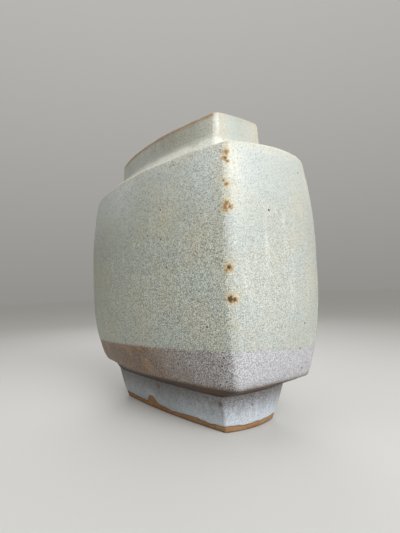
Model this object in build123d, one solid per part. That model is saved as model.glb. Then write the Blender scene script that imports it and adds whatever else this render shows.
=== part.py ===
from build123d import *
import os

# Slab-built stoneware pillow vase. Four bowed walls stand on a floor slab and carry a shoulder slab.
# Four mitred strips make the neck, four more make the foot, and a smoothed coil fills the neck seam.
# The origin is at the middle of the footprint, at table height. Z is up, X runs along the broad walls.

# Driving heights and thickness, in millimetres

slab_thickness = 5.0
foot_height = 18.5
wall_height = 108.0
neck_height = 23.5
belly_height = 58.0

# Body outline. The half width is taken at the corner edges. A bow is how far a side bulges beyond them.

body_length_surplus = 44.0
body_bottom_half_width = 24.0
body_middle_half_width = 30.3
body_top_half_width = 26.2
broad_bow_bottom = 7.8
broad_bow_middle = 12.0
broad_bow_top = 10.3
end_bow_bottom = 2.0
end_bow_middle = 7.0
end_bow_top = 6.0

# Neck outline and rim. Its corners stand in from the top of the body by the setback, and its ends by more.
# The taper is how much each side leans in towards the rim.

neck_setback = 10.0
neck_end_setback = 8.0
neck_taper = 1.2
neck_broad_bow = 6.2
neck_end_bow = 1.2
rim_radius = 1.8

# Coil smoothed into the neck seam. Its edges keep a little thickness.

seam_width = 7.0
seam_height = 12.0
seam_edge = 0.5

# Foot outline. Its corners stand in from the bottom of the body, and it tapers towards the table.

foot_setback = 3.6
foot_end_setback = 10.0
foot_taper = 3.9
foot_broad_bow = 2.6
foot_end_bow = 3.5
foot_bevel = 0.8

# Edges of the shoulder slab and the floor slab

shoulder_edge_radius = 2.8
floor_edge_inset = 2.2
floor_bevel = 1.2

# How far a cutter runs past the slab it cuts

cut_overrun = 1.0

# Shapes of the curves: how late the body turns in above and below its belly, how hollow the coil is

upper_curve_power = 2.2
lower_curve_power = 2.9
seam_hollow_power = 1.9
wall_station_count = 7
seam_station_count = 5

# Levels that follow from the heights

floor_level = foot_height
wall_level = floor_level + slab_thickness
belly_level = wall_level + belly_height
shoulder_level = wall_level + wall_height
neck_level = shoulder_level + slab_thickness
rim_level = neck_level + neck_height

# Sizes of the neck and the foot that follow from the body's

neck_base_half_width = body_top_half_width - neck_setback
neck_rim_half_width = neck_base_half_width - neck_taper
neck_length_surplus = body_length_surplus - neck_end_setback
foot_top_half_width = body_bottom_half_width - foot_setback
foot_bottom_half_width = foot_top_half_width - foot_taper
foot_length_surplus = body_length_surplus - foot_end_setback

# A strip has one long edge outside and one inside. A whole plan has four sides.

strip_edge_count = 2
plan_edge_count = 4


class Outline:
    """A four-sided plan with bowed sides. Its corners lie on fixed 45 degree lines, so mitres stay flat."""

    def __init__(self, half_width, length_surplus, broad_bow, end_bow):
        self.half_width = half_width
        self.length_surplus = length_surplus
        self.half_length = half_width + length_surplus
        self.broad_bow = broad_bow
        self.end_bow = end_bow

    def inset(self, distance):
        """The same plan drawn in all round."""
        return Outline(self.half_width - distance, self.length_surplus, self.broad_bow, self.end_bow)

    def broad_arc(self, height):
        """The side that faces -Y, from the left corner to the right corner."""
        return ThreePointArc(
            (-self.half_length, -self.half_width, height),
            (0, -self.half_width - self.broad_bow, height),
            (self.half_length, -self.half_width, height),
        )

    def end_arc(self, height):
        """The side that faces +X, from the front corner to the back corner."""
        return ThreePointArc(
            (self.half_length, -self.half_width, height),
            (self.half_length + self.end_bow, 0, height),
            (self.half_length, self.half_width, height),
        )


def full_face(outline, height):
    """The whole plan as a face at one height."""
    front = outline.broad_arc(height)
    right = outline.end_arc(height)
    back = front.mirror(Plane.XZ)
    left = right.mirror(Plane.YZ)
    return Face(Wire([front, right, back, left]))


def strip_face(outer_arc, inner_arc):
    """One slab seen from above: its outer side, its inner side and its two mitred ends."""
    first_mitre = Line(outer_arc @ 0, inner_arc @ 0)
    last_mitre = Line(outer_arc @ 1, inner_arc @ 1)
    return Face(Wire([outer_arc, last_mitre, inner_arc, first_mitre]))


def broad_slab(outlines, heights, ruled):
    """A front slab that follows the outlines from one height to the next."""
    faces = []
    for outline, height in zip(outlines, heights):
        inner = outline.inset(slab_thickness)
        faces.append(strip_face(outline.broad_arc(height), inner.broad_arc(height)))
    return loft(faces, ruled=ruled)


def end_slab(outlines, heights, ruled):
    """A right-hand slab that follows the outlines from one height to the next."""
    faces = []
    for outline, height in zip(outlines, heights):
        inner = outline.inset(slab_thickness)
        faces.append(strip_face(outline.end_arc(height), inner.end_arc(height)))
    return loft(faces, ruled=ruled)


def stations(low, high, count):
    """Heights spread evenly from low to high."""
    step = (high - low) / (count - 1)
    return [low + step * number for number in range(count)]


def body_value(height, bottom, middle, top):
    """A body size at one height, blended from its three driving values."""
    if height > belly_level:
        share = (height - belly_level) / (neck_level - belly_level)
        return middle + (top - middle) * share**upper_curve_power
    share = (belly_level - height) / (belly_level - wall_level)
    return middle + (bottom - middle) * share**lower_curve_power


def body_outline(height):
    """The outside of the body at one height."""
    return Outline(
        body_value(height, body_bottom_half_width, body_middle_half_width, body_top_half_width),
        body_length_surplus,
        body_value(height, broad_bow_bottom, broad_bow_middle, broad_bow_top),
        body_value(height, end_bow_bottom, end_bow_middle, end_bow_top),
    )


def long_edges(piece, height, count):
    """The longest edges that lie flat at one height. The short mitre edges are left out."""
    flat_edges = piece.edges().filter_by_position(Axis.Z, height, height)
    return flat_edges.sort_by(Edge.length)[-count:]


def four_sides(names, front, right):
    """Name a front slab and a right-hand slab, and mirror them to the two hidden sides."""
    front_name, back_name, right_name, left_name = names
    return {
        front_name: front,
        back_name: mirror(front, about=Plane.XZ),
        right_name: right,
        left_name: mirror(right, about=Plane.YZ),
    }


pieces = {}

# Walls, mitred at the four corners

wall_heights = stations(wall_level, shoulder_level, wall_station_count)
wall_outlines = [body_outline(height) for height in wall_heights]
pieces |= four_sides(
    ("front_wall", "back_wall", "right_end_wall", "left_end_wall"),
    broad_slab(wall_outlines, wall_heights, ruled=False),
    end_slab(wall_outlines, wall_heights, ruled=False),
)

# Floor slab. The walls stand on it and its edge shows below them as a thin ridge.

floor_outline = body_outline(wall_level).inset(floor_edge_inset)
floor_blank = extrude(full_face(floor_outline, floor_level), slab_thickness)
pieces["floor_slab"] = chamfer(long_edges(floor_blank, floor_level, plan_edge_count), floor_bevel)

# Shoulder slab with a rounded edge. The mouth is cut through it, level with the inside of the neck.

neck_base = Outline(neck_base_half_width, neck_length_surplus, neck_broad_bow, neck_end_bow)
neck_rim = Outline(neck_rim_half_width, neck_length_surplus, neck_broad_bow, neck_end_bow)
shoulder_bottom = full_face(body_outline(shoulder_level), shoulder_level)
shoulder_top = full_face(body_outline(neck_level), neck_level)
shoulder_blank = loft([shoulder_bottom, shoulder_top], ruled=True)
shoulder_blank = fillet(long_edges(shoulder_blank, neck_level, plan_edge_count), shoulder_edge_radius)
mouth_face = full_face(neck_base.inset(slab_thickness), shoulder_level - cut_overrun)
pieces["shoulder_slab"] = shoulder_blank - extrude(mouth_face, slab_thickness + 2 * cut_overrun)

# Neck strips, mitred at the corners, with a rounded rim

neck_levels = [neck_level, rim_level]
neck_broad = broad_slab([neck_base, neck_rim], neck_levels, ruled=True)
neck_end = end_slab([neck_base, neck_rim], neck_levels, ruled=True)
pieces |= four_sides(
    ("neck_front", "neck_back", "neck_right", "neck_left"),
    fillet(long_edges(neck_broad, rim_level, strip_edge_count), rim_radius),
    fillet(long_edges(neck_end, rim_level, strip_edge_count), rim_radius),
)

# Coil in the neck seam: wide on the shoulder, hollowed on its way up the neck

seam_heights = stations(neck_level, neck_level + seam_height, seam_station_count)
seam_faces = []
for height in seam_heights:
    neck_share = (height - neck_level) / neck_height
    neck_half_width = neck_base_half_width - neck_taper * neck_share
    reach_share = ((seam_heights[-1] - height) / seam_height) ** seam_hollow_power
    reach = seam_edge + (seam_width - seam_edge) * reach_share
    seam_outline = Outline(neck_half_width + reach, neck_length_surplus, neck_broad_bow, neck_end_bow)
    seam_faces.append(full_face(seam_outline, height))
neck_core = loft([full_face(neck_base, neck_level), full_face(neck_rim, rim_level)], ruled=True)
pieces["neck_seam_coil"] = loft(seam_faces) - neck_core

# Foot strips, mitred at the corners and drawn in towards the table

foot_bottom = Outline(foot_bottom_half_width, foot_length_surplus, foot_broad_bow, foot_end_bow)
foot_top = Outline(foot_top_half_width, foot_length_surplus, foot_broad_bow, foot_end_bow)
foot_levels = [0, floor_level]
foot_broad = broad_slab([foot_bottom, foot_top], foot_levels, ruled=True)
foot_end = end_slab([foot_bottom, foot_top], foot_levels, ruled=True)
pieces |= four_sides(
    ("foot_front", "foot_back", "foot_right", "foot_left"),
    chamfer(long_edges(foot_broad, 0, strip_edge_count), foot_bevel),
    chamfer(long_edges(foot_end, 0, strip_edge_count), foot_bevel),
)

os.makedirs("parts", exist_ok=True)
for name, piece in pieces.items():
    export_step(piece, f"parts/{name}.step")
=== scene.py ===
"""Pillow vase: the glazed clay pieces of a slab-built vase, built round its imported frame.

Every slab, strip and coil is swept along one shared ring of columns, so that neighbours meet
in the same points, and then gets its hand-made unevenness, its glaze and its bare clay.
"""

import math

import bpy
import numpy as np
from bpy.props import FloatProperty, FloatVectorProperty, PointerProperty
from mathutils import Matrix, Vector, noise


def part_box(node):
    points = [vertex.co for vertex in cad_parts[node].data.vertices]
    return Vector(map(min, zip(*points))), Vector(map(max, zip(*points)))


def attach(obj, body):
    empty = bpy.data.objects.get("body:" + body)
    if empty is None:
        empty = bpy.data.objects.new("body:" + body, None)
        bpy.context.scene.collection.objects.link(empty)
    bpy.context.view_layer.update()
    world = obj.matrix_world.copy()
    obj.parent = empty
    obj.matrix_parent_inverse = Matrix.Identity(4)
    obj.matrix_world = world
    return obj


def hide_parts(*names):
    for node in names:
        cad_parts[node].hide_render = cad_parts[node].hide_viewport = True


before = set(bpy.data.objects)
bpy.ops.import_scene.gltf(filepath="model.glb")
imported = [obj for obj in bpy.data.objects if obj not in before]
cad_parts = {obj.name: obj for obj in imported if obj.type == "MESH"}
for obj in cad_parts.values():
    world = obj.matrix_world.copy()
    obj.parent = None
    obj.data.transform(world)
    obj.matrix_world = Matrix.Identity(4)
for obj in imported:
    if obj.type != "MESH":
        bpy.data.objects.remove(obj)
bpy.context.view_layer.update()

bl_info = {
    "name": "Pillow vase",
    "version": (1, 0, 0),
    "blender": (4, 5, 0),
    "location": "3D View > Sidebar > Pillow vase",
    "description": "Builds a slab-built pillow vase with its glazes and a plain studio",
    "category": "Add Mesh",
}

# Steps of the shared ring of columns: along a broad side, along an end and round a corner
BROAD_STEPS = 190
END_STEPS = 78
CORNER_STEPS = 12
BROAD_COLUMNS = BROAD_STEPS + CORNER_STEPS
END_COLUMNS = END_STEPS + CORNER_STEPS
RING_COLUMNS = 2 * (BROAD_COLUMNS + END_COLUMNS)

# Where each side starts on the ring, and how many columns it has
SIDES = {
    "front": (0, BROAD_COLUMNS),
    "right": (BROAD_COLUMNS, END_COLUMNS),
    "back": (BROAD_COLUMNS + END_COLUMNS, BROAD_COLUMNS),
    "left": (2 * BROAD_COLUMNS + END_COLUMNS, END_COLUMNS),
}
WALL_NODES = {
    "front": "front_wall",
    "right": "right_end_wall",
    "back": "back_wall",
    "left": "left_end_wall",
}

# Rows of each face
WALL_ROWS = 132
INNER_ROWS = 40
ROUNDING_ROWS = 8
NECK_ROWS = 30
FOOT_ROWS = 26
FLAT_ROWS = 10
CENTRE_SHARE = 0.04

# Share of a piece's baked picture that its long sides take, and where its end faces go
UNROLLED_WIDTH = 0.97
END_FACE_PLACE = 0.985

# Each outline is four numbers: half length, half width, broad bow and end bow
GROWTH = np.array((1.0, 1.0, 0.0, 0.0))
LEVEL_MATCH = 0.0003


def node_points(node):
    """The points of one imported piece."""
    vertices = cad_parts[node].data.vertices
    points = np.empty(len(vertices) * 3, dtype=np.float32)
    vertices.foreach_get("co", points)
    return points.reshape(-1, 3).astype(float)


def outline_of(broad_node, end_node, level=None):
    """Outline of neighbouring pieces at one height, or at their widest if no height is given."""
    broad = node_points(broad_node)
    end = node_points(end_node)
    if level is not None:
        broad = broad[np.abs(broad[:, 2] - level) < LEVEL_MATCH]
        end = end[np.abs(end[:, 2] - level) < LEVEL_MATCH]
    half_length = broad[:, 0].max()
    half_width = end[:, 1].max()
    broad_bow = -broad[:, 1].min() - half_width
    end_bow = end[:, 0].max() - half_length
    return np.array((half_length, half_width, broad_bow, end_bow))


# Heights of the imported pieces
FLOOR_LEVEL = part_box("floor_slab")[0].z
WALL_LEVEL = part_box("front_wall")[0].z
SHOULDER_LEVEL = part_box("front_wall")[1].z
NECK_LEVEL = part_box("shoulder_slab")[1].z
RIM_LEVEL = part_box("neck_front")[1].z
SLAB_THICKNESS = WALL_LEVEL - FLOOR_LEVEL

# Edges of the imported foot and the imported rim, beyond which their sides run straight
FOOT_BEVEL = 0.0008
RIM_ROUNDING = 0.0018

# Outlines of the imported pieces
BODY_BOTTOM = outline_of("front_wall", "right_end_wall", WALL_LEVEL)
BODY_BELLY = outline_of("front_wall", "right_end_wall")
BODY_TOP = outline_of("front_wall", "right_end_wall", SHOULDER_LEVEL)
NECK_BASE = outline_of("neck_front", "neck_right", NECK_LEVEL)
NECK_TOP = outline_of("neck_front", "neck_right", RIM_LEVEL - RIM_ROUNDING)
FOOT_BASE = outline_of("foot_front", "foot_right", FOOT_BEVEL)
FOOT_TOP = outline_of("foot_front", "foot_right", FLOOR_LEVEL)


def length_value(name, default, description):
    """A length in metres that a user may change."""
    return FloatProperty(
        name=name, description=description, default=default, unit="LENGTH", precision=5
    )


def angle_value(name, degrees, description):
    """An angle that a user may change, given in degrees."""
    return FloatProperty(
        name=name, description=description, default=math.radians(degrees), subtype="ANGLE"
    )


def power_value(name, default, description):
    """A light's power in watts that a user may change."""
    return FloatProperty(name=name, description=description, default=default, unit="POWER")


def colour_value(name, default, description):
    """A colour that a user may change."""
    return FloatVectorProperty(
        name=name, description=description, default=default, subtype="COLOR", min=0.0, max=1.0
    )


class VaseShape(bpy.types.PropertyGroup):
    """Sizes of the hand-built clay that the plain slabs don't have."""

    belly_height: length_value("Belly height", 0.0815, "Height where the body is widest")
    upper_power: FloatProperty(name="Upper curve", default=2.2, description="Curve above the belly")
    lower_power: FloatProperty(name="Lower curve", default=2.9, description="Curve below the belly")
    corner_top: length_value("Upper corner", 0.0050, "Rounding of the body's corners at the top")
    corner_belly: length_value("Belly corner", 0.0090, "Rounding of the body's corners at the belly")
    corner_bottom: length_value("Lower corner", 0.0034, "Rounding of the body's corners below")
    corner_inside: length_value("Inner corner", 0.0030, "Rounding of the corners inside")
    neck_corner: length_value("Neck corner", 0.0032, "Rounding of the neck's corners")
    foot_corner: length_value("Foot corner", 0.0017, "Rounding of the foot's corners")
    shoulder_edge: length_value("Shoulder edge", 0.0022, "Rounding of the shoulder's edge")
    wall_edge: length_value("Wall edge", 0.0012, "Rounding under the walls")
    foot_edge: length_value("Foot edge", 0.0009, "Rounding at the foot's lower edges")
    cove_width: length_value("Cove width", 0.0070, "Reach of the smoothed coil on the shoulder")
    cove_height: length_value("Cove height", 0.0120, "Height of the smoothed coil on the neck")
    ridge_inset: length_value("Ridge inset", 0.0034, "How far the floor's edge lies in")
    ridge_height: length_value("Ridge height", 0.0012, "Height of the ridge under the walls")
    groove_height: length_value("Groove height", 0.0003, "Height of the groove under the walls")
    groove_depth: length_value("Groove depth", 0.0007, "Depth of the groove under the walls")
    rim_edge: length_value("Rim edge", 0.0014, "Rounding of the rim")
    foot_swell: length_value("Foot swell", 0.0003, "Bulge of the foot's sides at half height")
    tuck_depth: length_value("Tuck", 0.0014, "How far the walls are tucked in below at the left")
    corner_set: length_value("Corner set", 0.0022, "How far the back right corner is set out below")
    wave_depth: length_value("Wave depth", 0.00038, "Slow unevenness of the slabs")
    wave_size: length_value("Wave size", 0.034, "Size of the slow unevenness")
    dimple_depth: length_value("Dimple depth", 0.00007, "Small unevenness of the slabs")
    dimple_size: length_value("Dimple size", 0.006, "Size of the small unevenness")
    dip_height: length_value("Dip line", 0.0381, "Height of the green glaze's lower edge")
    dip_step: length_value("Dip step", 0.00014, "Thickness of the green glaze over the band")
    bare_height: length_value("Bare clay", 0.0035, "Height of the bare clay on the foot")
    glaze_step: length_value("Glaze step", 0.00030, "Thickness of the foot's glaze")


class VaseGlaze(bpy.types.PropertyGroup):
    """Colours of the glazes and the clay."""

    green: colour_value("Green", (0.352, 0.364, 0.304), "Main colour of the glaze")
    ochre: colour_value("Ochre", (0.400, 0.355, 0.248), "Warm clouds in the glaze")
    blue: colour_value("Blue", (0.312, 0.354, 0.325), "Cool clouds in the glaze")
    # Painted pale sheen of light from above, under the shoulder
    top_sheen: colour_value("Mist", (0.490, 0.522, 0.500), "Pale glaze under the shoulder")
    # Also the painted highlight on the cove and round the pinholes
    cream: colour_value("Cream", (0.620, 0.618, 0.545), "Thin glaze on edges, and pale grains")
    dark_grain: colour_value("Dark grain", (0.150, 0.155, 0.138), "Dark grains in the glaze")
    rim: colour_value("Rim", (0.275, 0.145, 0.062), "Glaze worn thin on the rim")
    halo: colour_value("Halo", (0.465, 0.350, 0.185), "Warm ring round iron spots")
    iron: colour_value("Iron", (0.215, 0.118, 0.040), "Iron spots")
    iron_core: colour_value("Iron core", (0.038, 0.025, 0.013), "Middle of iron spots, pinholes")
    # Also the painted cool tint of the light on the ends
    lavender: colour_value("Lavender", (0.395, 0.385, 0.395), "Thick glaze in the low band")
    grey: colour_value("Grey", (0.250, 0.228, 0.222), "Middling glaze in the low band")
    umber: colour_value("Umber", (0.155, 0.092, 0.038), "Warm patches in the low band")
    brown: colour_value("Brown", (0.115, 0.045, 0.015), "Thin glaze in the low band")
    rust: colour_value("Rust", (0.235, 0.115, 0.034), "Glaze burnt to rust in the low band")
    # Also the painted shade on the floor's slope under the ridge
    ridge: colour_value("Ridge", (0.075, 0.042, 0.025), "Glaze on the floor's edge")
    crest: colour_value("Crest", (0.205, 0.130, 0.080), "Thin glaze on the ridge's crest")
    foot: colour_value("Foot", (0.225, 0.236, 0.246), "Glaze on the foot")
    foot_pale: colour_value("Foot pale", (0.425, 0.452, 0.478), "Thick glaze on the foot")
    # Painted shade at the top of the foot, also the colour of its dark grains
    foot_shade_and_pepper: colour_value("Foot dark", (0.105, 0.092, 0.085), "Dark glaze at the top of the foot")
    clay: colour_value("Clay", (0.270, 0.172, 0.082), "Bare clay")
    toasted: colour_value("Toasted clay", (0.225, 0.090, 0.028), "Bare clay next to glaze")


class VaseStudio(bpy.types.PropertyGroup):
    """Camera, lights and floor."""

    camera_distance: length_value("Camera distance", 0.24594, "From the vase's axis")
    camera_height: length_value("Camera height", 0.06831, "Above the floor")
    camera_bearing: angle_value("Bearing", 35.505, "Turn of the camera from the vase's length")
    camera_yaw: angle_value("Yaw", 1.932, "Turn to the right of the axis")
    camera_pitch: angle_value("Pitch", 3.725, "Turn upwards")
    camera_roll: angle_value("Roll", -2.325, "Turn about the line of sight")
    lens: FloatProperty(name="Lens", description="Focal length in mm", default=26.77, unit="CAMERA")
    key_power: power_value("Key power", 1.68, "Power of the large light")
    key_colour: colour_value("Key colour", (0.925, 0.96, 1.0), "Colour of the lights")
    top_power: power_value("Top power", 1.7, "Power of the light overhead")
    fill_power: power_value("Fill power", 0.45, "Power of the light behind")
    beam: angle_value("Beam", 68.0, "Angle over which the large light and the light behind fan out")
    sky_low: FloatProperty(name="Low sky", description="Room light at the horizon", default=0.29)
    sky_high: FloatProperty(name="High sky", description="Room light overhead", default=0.60)
    sky_colour: colour_value("Sky colour", (1.0, 0.985, 0.935), "Colour of the room light")
    floor_colour: colour_value("Floor", (0.54, 0.525, 0.50), "Colour of the floor")


# The back right corner is set out at the walls' foot and a little under the shoulder: places along and
# across the vase where that starts and is full, and its shares at some heights
SET_START = (0.020, -0.010)
SET_END = (0.070, 0.024)
SET_LEVELS = (0.008, WALL_LEVEL, 0.047, 0.070, SHOULDER_LEVEL)
SET_SHARES = (0.0, 0.9, -0.1, 0.1, 0.4)

# The tuck at the left: places along the vase where it starts and is full, its top, and half the
# length of the line that it draws towards
TUCK_PLACES = (-0.005, -0.055)
TUCK_HEIGHT = 0.0065
TUCK_LEVEL = WALL_LEVEL + TUCK_HEIGHT
TUCK_SPINE = 0.045

# Seeds of the unevenness, and the height below which the foot stays true
WAVE_SEED = 3.7
DIMPLE_SEED = 11.2
DIP_SEED = 5.1
DRIP_SEED = 8.3
CALM_HEIGHT = 0.006

# The green glaze was dipped at a slant along and across the vase. Its edge wanders, and is rounded over a
# small height.
DIP_SLANT_X = 0.029
DIP_SLANT_Y = -0.070
DIP_WANDER = 0.0007
DIP_WANDER_SIZE = 0.013
DIP_EDGE = 0.0009

# The foot's glaze ends in an uneven line that wanders and is ragged, with one square notch on the front,
# and its edge is rounded over a small height
BARE_WANDER = 0.0013
BARE_WANDER_SIZE = 0.016
BARE_RAGGED = 0.0005
BARE_RAGGED_SIZE = 0.004
NOTCH_PLACE = -0.0125
NOTCH_WIDTH = 0.0056
NOTCH_HEIGHT = 0.0038
NOTCH_POWER = 4
GLAZE_EDGE = 0.0010

# How straight the cove at the foot of the neck runs, from 1 for round to 2 for straight, and how far the
# coil's hidden back lies inside the neck's face
COVE_POWER = 1.5
COIL_BACK_INSET = SLAB_THICKNESS / 10

# Painted shade on the neck's broad sides: the sides that have it, how much of it the corners lose over
# which width, and the heights above the shoulder and the places along the vase between which it darkens
NECK_SHADE_FACING = (0.60, 0.85)
NECK_SHADE_CORNER = 0.75
NECK_SHADE_CORNER_WIDTH = 0.016
NECK_SHADE_HEIGHTS = (0.0070, 0.0180)
NECK_SHADE_LEVELS = tuple(NECK_LEVEL + height for height in NECK_SHADE_HEIGHTS)
NECK_SHADE_PLACES = (-0.035, 0.020)

# Width over which glaze breaks to a paler colour at an edge, how much of that the corners get, and
# the widths over which it runs thin there, below the shoulder and on the corners of the neck
BREAK_WIDTH = 0.0026
CORNER_BREAK = 0.55
THIN_WIDTH = 0.0080
TOP_THIN_WIDTH = 0.0045
NECK_BREAK_WIDTH = 0.0038
NECK_BREAK = 0.65

# Depths below the rim where the glaze starts to wear and is worn to brown, the heights above the shoulder
# between which the cove at the foot of the neck turns pale, with pale glaze and a painted highlight of
# light from above, and how strongly, and the wear at the shoulder's corners and along its edge
RIM_WEAR = (0.0036, 0.0010)
COVE_HEIGHTS = (0.0120, 0.0060)
COVE_LEVELS = tuple(NECK_LEVEL + height for height in COVE_HEIGHTS)
COVE_PALE_AND_HIGHLIGHT = 1.6
POINT_WIDTH = 0.0026
POINT_WEAR = 0.45
SHOULDER_WEAR = 0.25

# The glaze is calmer on the ends, which face along the vase
CALM_FACING = (0.38, 0.72)


# Points, rows and pieces


def ring(outline, corner_radius):
    """Points round one outline with rounded corners, from the middle of its front left corner."""
    half_length, half_width, broad_bow, end_bow = outline
    broad_radius = (half_length**2 + broad_bow**2) / (2 * broad_bow)
    end_radius = (half_width**2 + end_bow**2) / (2 * end_bow)
    broad_centre = np.array((0.0, broad_radius - half_width - broad_bow))
    end_centre = np.array((half_length + end_bow - end_radius, 0.0))

    # The centre of the rounding lies one corner radius inside both sides
    between = end_centre - broad_centre
    distance = math.hypot(*between)
    along = between / distance
    across = np.array((-along[1], along[0]))
    broad_reach = broad_radius - corner_radius
    end_reach = end_radius - corner_radius
    share = (broad_reach**2 - end_reach**2 + distance**2) / (2 * distance)
    height = math.sqrt(broad_reach**2 - share**2)
    centres = [broad_centre + along * share + across * height * sign for sign in (-1, 1)]
    centre = max(centres, key=lambda point: point[0] - point[1])

    broad_angle = math.asin((centre[0] - broad_centre[0]) / broad_reach)
    end_angle = math.asin((end_centre[1] - centre[1]) / end_reach)
    turn = np.linspace(broad_angle, math.pi / 2 - end_angle, CORNER_STEPS + 1)
    corner = centre + corner_radius * np.column_stack((np.sin(turn), -np.cos(turn)))
    sweep = np.linspace(-broad_angle, broad_angle, BROAD_STEPS + 1)[1:-1]
    broad = broad_centre + broad_radius * np.column_stack((np.sin(sweep), -np.cos(sweep)))
    sweep = np.linspace(-end_angle, end_angle, END_STEPS + 1)[1:-1]
    end = end_centre + end_radius * np.column_stack((np.cos(sweep), np.sin(sweep)))

    half = CORNER_STEPS // 2
    front = np.concatenate((corner[half::-1] * (-1, 1), broad, corner[:half]))
    right = np.concatenate((corner[half:], end, corner[:half:-1] * (1, -1)))
    return np.concatenate((front, right, -front, -right))


def level_row(outline, corner_radius, height):
    """One row of points round an outline at one height."""
    flat = ring(outline, corner_radius)
    return np.column_stack((flat, np.full(RING_COLUMNS, height)))


def grown(outline, by):
    """An outline moved outwards on all sides."""
    return outline + GROWTH * by


def body_outline(shape, height):
    """Outline of the body's outer face at one height."""
    if height > shape.belly_height:
        end, level, power = BODY_TOP, SHOULDER_LEVEL, shape.upper_power
    else:
        end, level, power = BODY_BOTTOM, WALL_LEVEL, shape.lower_power
    share = abs((height - shape.belly_height) / (level - shape.belly_height)) ** power
    return BODY_BELLY + (end - BODY_BELLY) * share


def straight_outline(base, top, low, high, height):
    """Outline of a strip with straight sides, such as the neck or the foot, at one height."""
    return base + (top - base) * (height - low) / (high - low)


def neck_outline(height):
    """Outline of the neck's outer face at one height."""
    return straight_outline(NECK_BASE, NECK_TOP, NECK_LEVEL, RIM_LEVEL - RIM_ROUNDING, height)


def foot_outline(shape, height):
    """Outline of the foot's outer face at one height."""
    straight = straight_outline(FOOT_BASE, FOOT_TOP, FOOT_BEVEL, FLOOR_LEVEL, height)
    return grown(straight, shape.foot_swell * math.sin(math.pi * height / FLOOR_LEVEL))


def body_corner(shape, height):
    """Rounding of the body's corners at one height."""
    levels = (WALL_LEVEL, shape.belly_height, NECK_LEVEL)
    return np.interp(height, levels, (shape.corner_bottom, shape.corner_belly, shape.corner_top))


def run_normals(run):
    """Outward directions of the points of one run of rows."""
    along = np.roll(run, -1, axis=1) - np.roll(run, 1, axis=1)
    up = np.gradient(run, axis=0)
    normals = np.cross(along, up)
    lengths = np.linalg.norm(normals, axis=2, keepdims=True)
    return normals / np.maximum(lengths, np.finfo(float).tiny)


def ripple(points, size, seed):
    """Smooth unevenness between -1 and 1, with bumps of about one size."""
    shift = Vector((seed, -seed, seed / 2))
    flat = points.reshape(-1, 3) / size
    values = np.array([noise.noise(Vector(point) + shift) for point in flat])
    return values.reshape(points.shape[:-1])


def smooth_step(values, low, high):
    """Values eased from 0 at low to 1 at high."""
    share = np.clip((values - low) / (high - low), 0.0, 1.0)
    return share * share * (3.0 - 2.0 * share)


def hand_relief(shape, run):
    """How far the clay stands out of its drawn form, calm where the vase touches the floor."""
    slow = shape.wave_depth * ripple(run, shape.wave_size, WAVE_SEED)
    small = shape.dimple_depth * ripple(run, shape.dimple_size, DIMPLE_SEED)
    return (slow + small) * smooth_step(run[..., 2], 0.0, CALM_HEIGHT)


def hand_set(shape, run):
    """Shift of the back right corner, which isn't quite the twin of the others."""
    along = smooth_step(run[..., 0], SET_START[0], SET_END[0])
    across = smooth_step(run[..., 1], SET_START[1], SET_END[1])
    share = np.interp(run[..., 2], SET_LEVELS, SET_SHARES)
    shift = np.zeros(run.shape)
    shift[..., 1] = shape.corner_set * share * along * across
    return shift


def tuck(shape, run):
    """Shift that draws the foot of the walls in towards the middle at the left of the vase."""
    rise = np.interp(run[..., 2], (FLOOR_LEVEL, WALL_LEVEL, TUCK_LEVEL), (0.0, 1.0, 0.0))
    share = rise**2 * smooth_step(run[..., 0], *TUCK_PLACES)
    inward = np.zeros(run.shape)
    inward[..., 0] = np.clip(run[..., 0], -TUCK_SPINE, TUCK_SPINE) - run[..., 0]
    inward[..., 1] = -run[..., 1]
    lengths = np.linalg.norm(inward, axis=-1, keepdims=True)
    return inward / np.maximum(lengths, shape.tuck_depth) * (shape.tuck_depth * share)[..., None]


def shaped(shape, run, coat=0.0):
    """A run of rows with the unevenness of hand-built clay and a coat of glaze on it."""
    depth = hand_relief(shape, run) + coat
    return run + run_normals(run) * depth[..., None] + hand_set(shape, run) + tuck(shape, run)


def corner_nearness(run, width):
    """1 on the corners of a run, fading away from them over a width."""
    steps = np.linalg.norm(np.roll(run, -1, axis=1) - run, axis=2)
    places = np.cumsum(steps, axis=1) - steps
    around = steps.sum(axis=1, keepdims=True)
    nearness = np.zeros(run.shape[:2])
    for start, _count in SIDES.values():
        gap = np.abs(places - places[:, start : start + 1])
        gap = np.minimum(gap, around - gap)
        nearness = np.maximum(nearness, np.exp(-((gap / width) ** 2)))
    return nearness


def above_dip(shape, points):
    """Height of points above the lower edge of the green glaze."""
    line = shape.dip_height + DIP_SLANT_X * points[..., 0] + DIP_SLANT_Y * points[..., 1]
    wander = DIP_WANDER * ripple(points, DIP_WANDER_SIZE, DIP_SEED)
    return points[..., 2] - line - wander


def above_bare_clay(shape, points):
    """Height of points above the end of the foot's glaze, which is bare inside and below."""
    wander = BARE_WANDER * ripple(points, BARE_WANDER_SIZE, DRIP_SEED)
    wander += BARE_RAGGED * ripple(points, BARE_RAGGED_SIZE, DRIP_SEED)
    notch = np.exp(-(np.abs((points[..., 0] - NOTCH_PLACE) / NOTCH_WIDTH) ** NOTCH_POWER))
    notch = NOTCH_HEIGHT * np.where(points[..., 1] < 0.0, notch, 0.0)
    return points[..., 2] - shape.bare_height - wander - notch


def neck_shade_share(rows):
    """1 on the upper broad sides of the neck, where shade is painted, and 0 elsewhere."""
    normals = run_normals(rows)
    level = np.maximum(np.hypot(normals[..., 0], normals[..., 1]), np.finfo(float).tiny)
    facing = smooth_step(np.abs(normals[..., 1]) / level, *NECK_SHADE_FACING)
    inward = 1.0 - NECK_SHADE_CORNER * corner_nearness(rows, NECK_SHADE_CORNER_WIDTH)
    return facing * inward * smooth_step(rows[..., 2], *NECK_SHADE_LEVELS)


class Run:
    """Rows of one face of a piece, with the measures that its finish reads."""

    def __init__(self, rows, **measures):
        self.rows = np.array(rows)
        self.measures = measures


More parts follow.
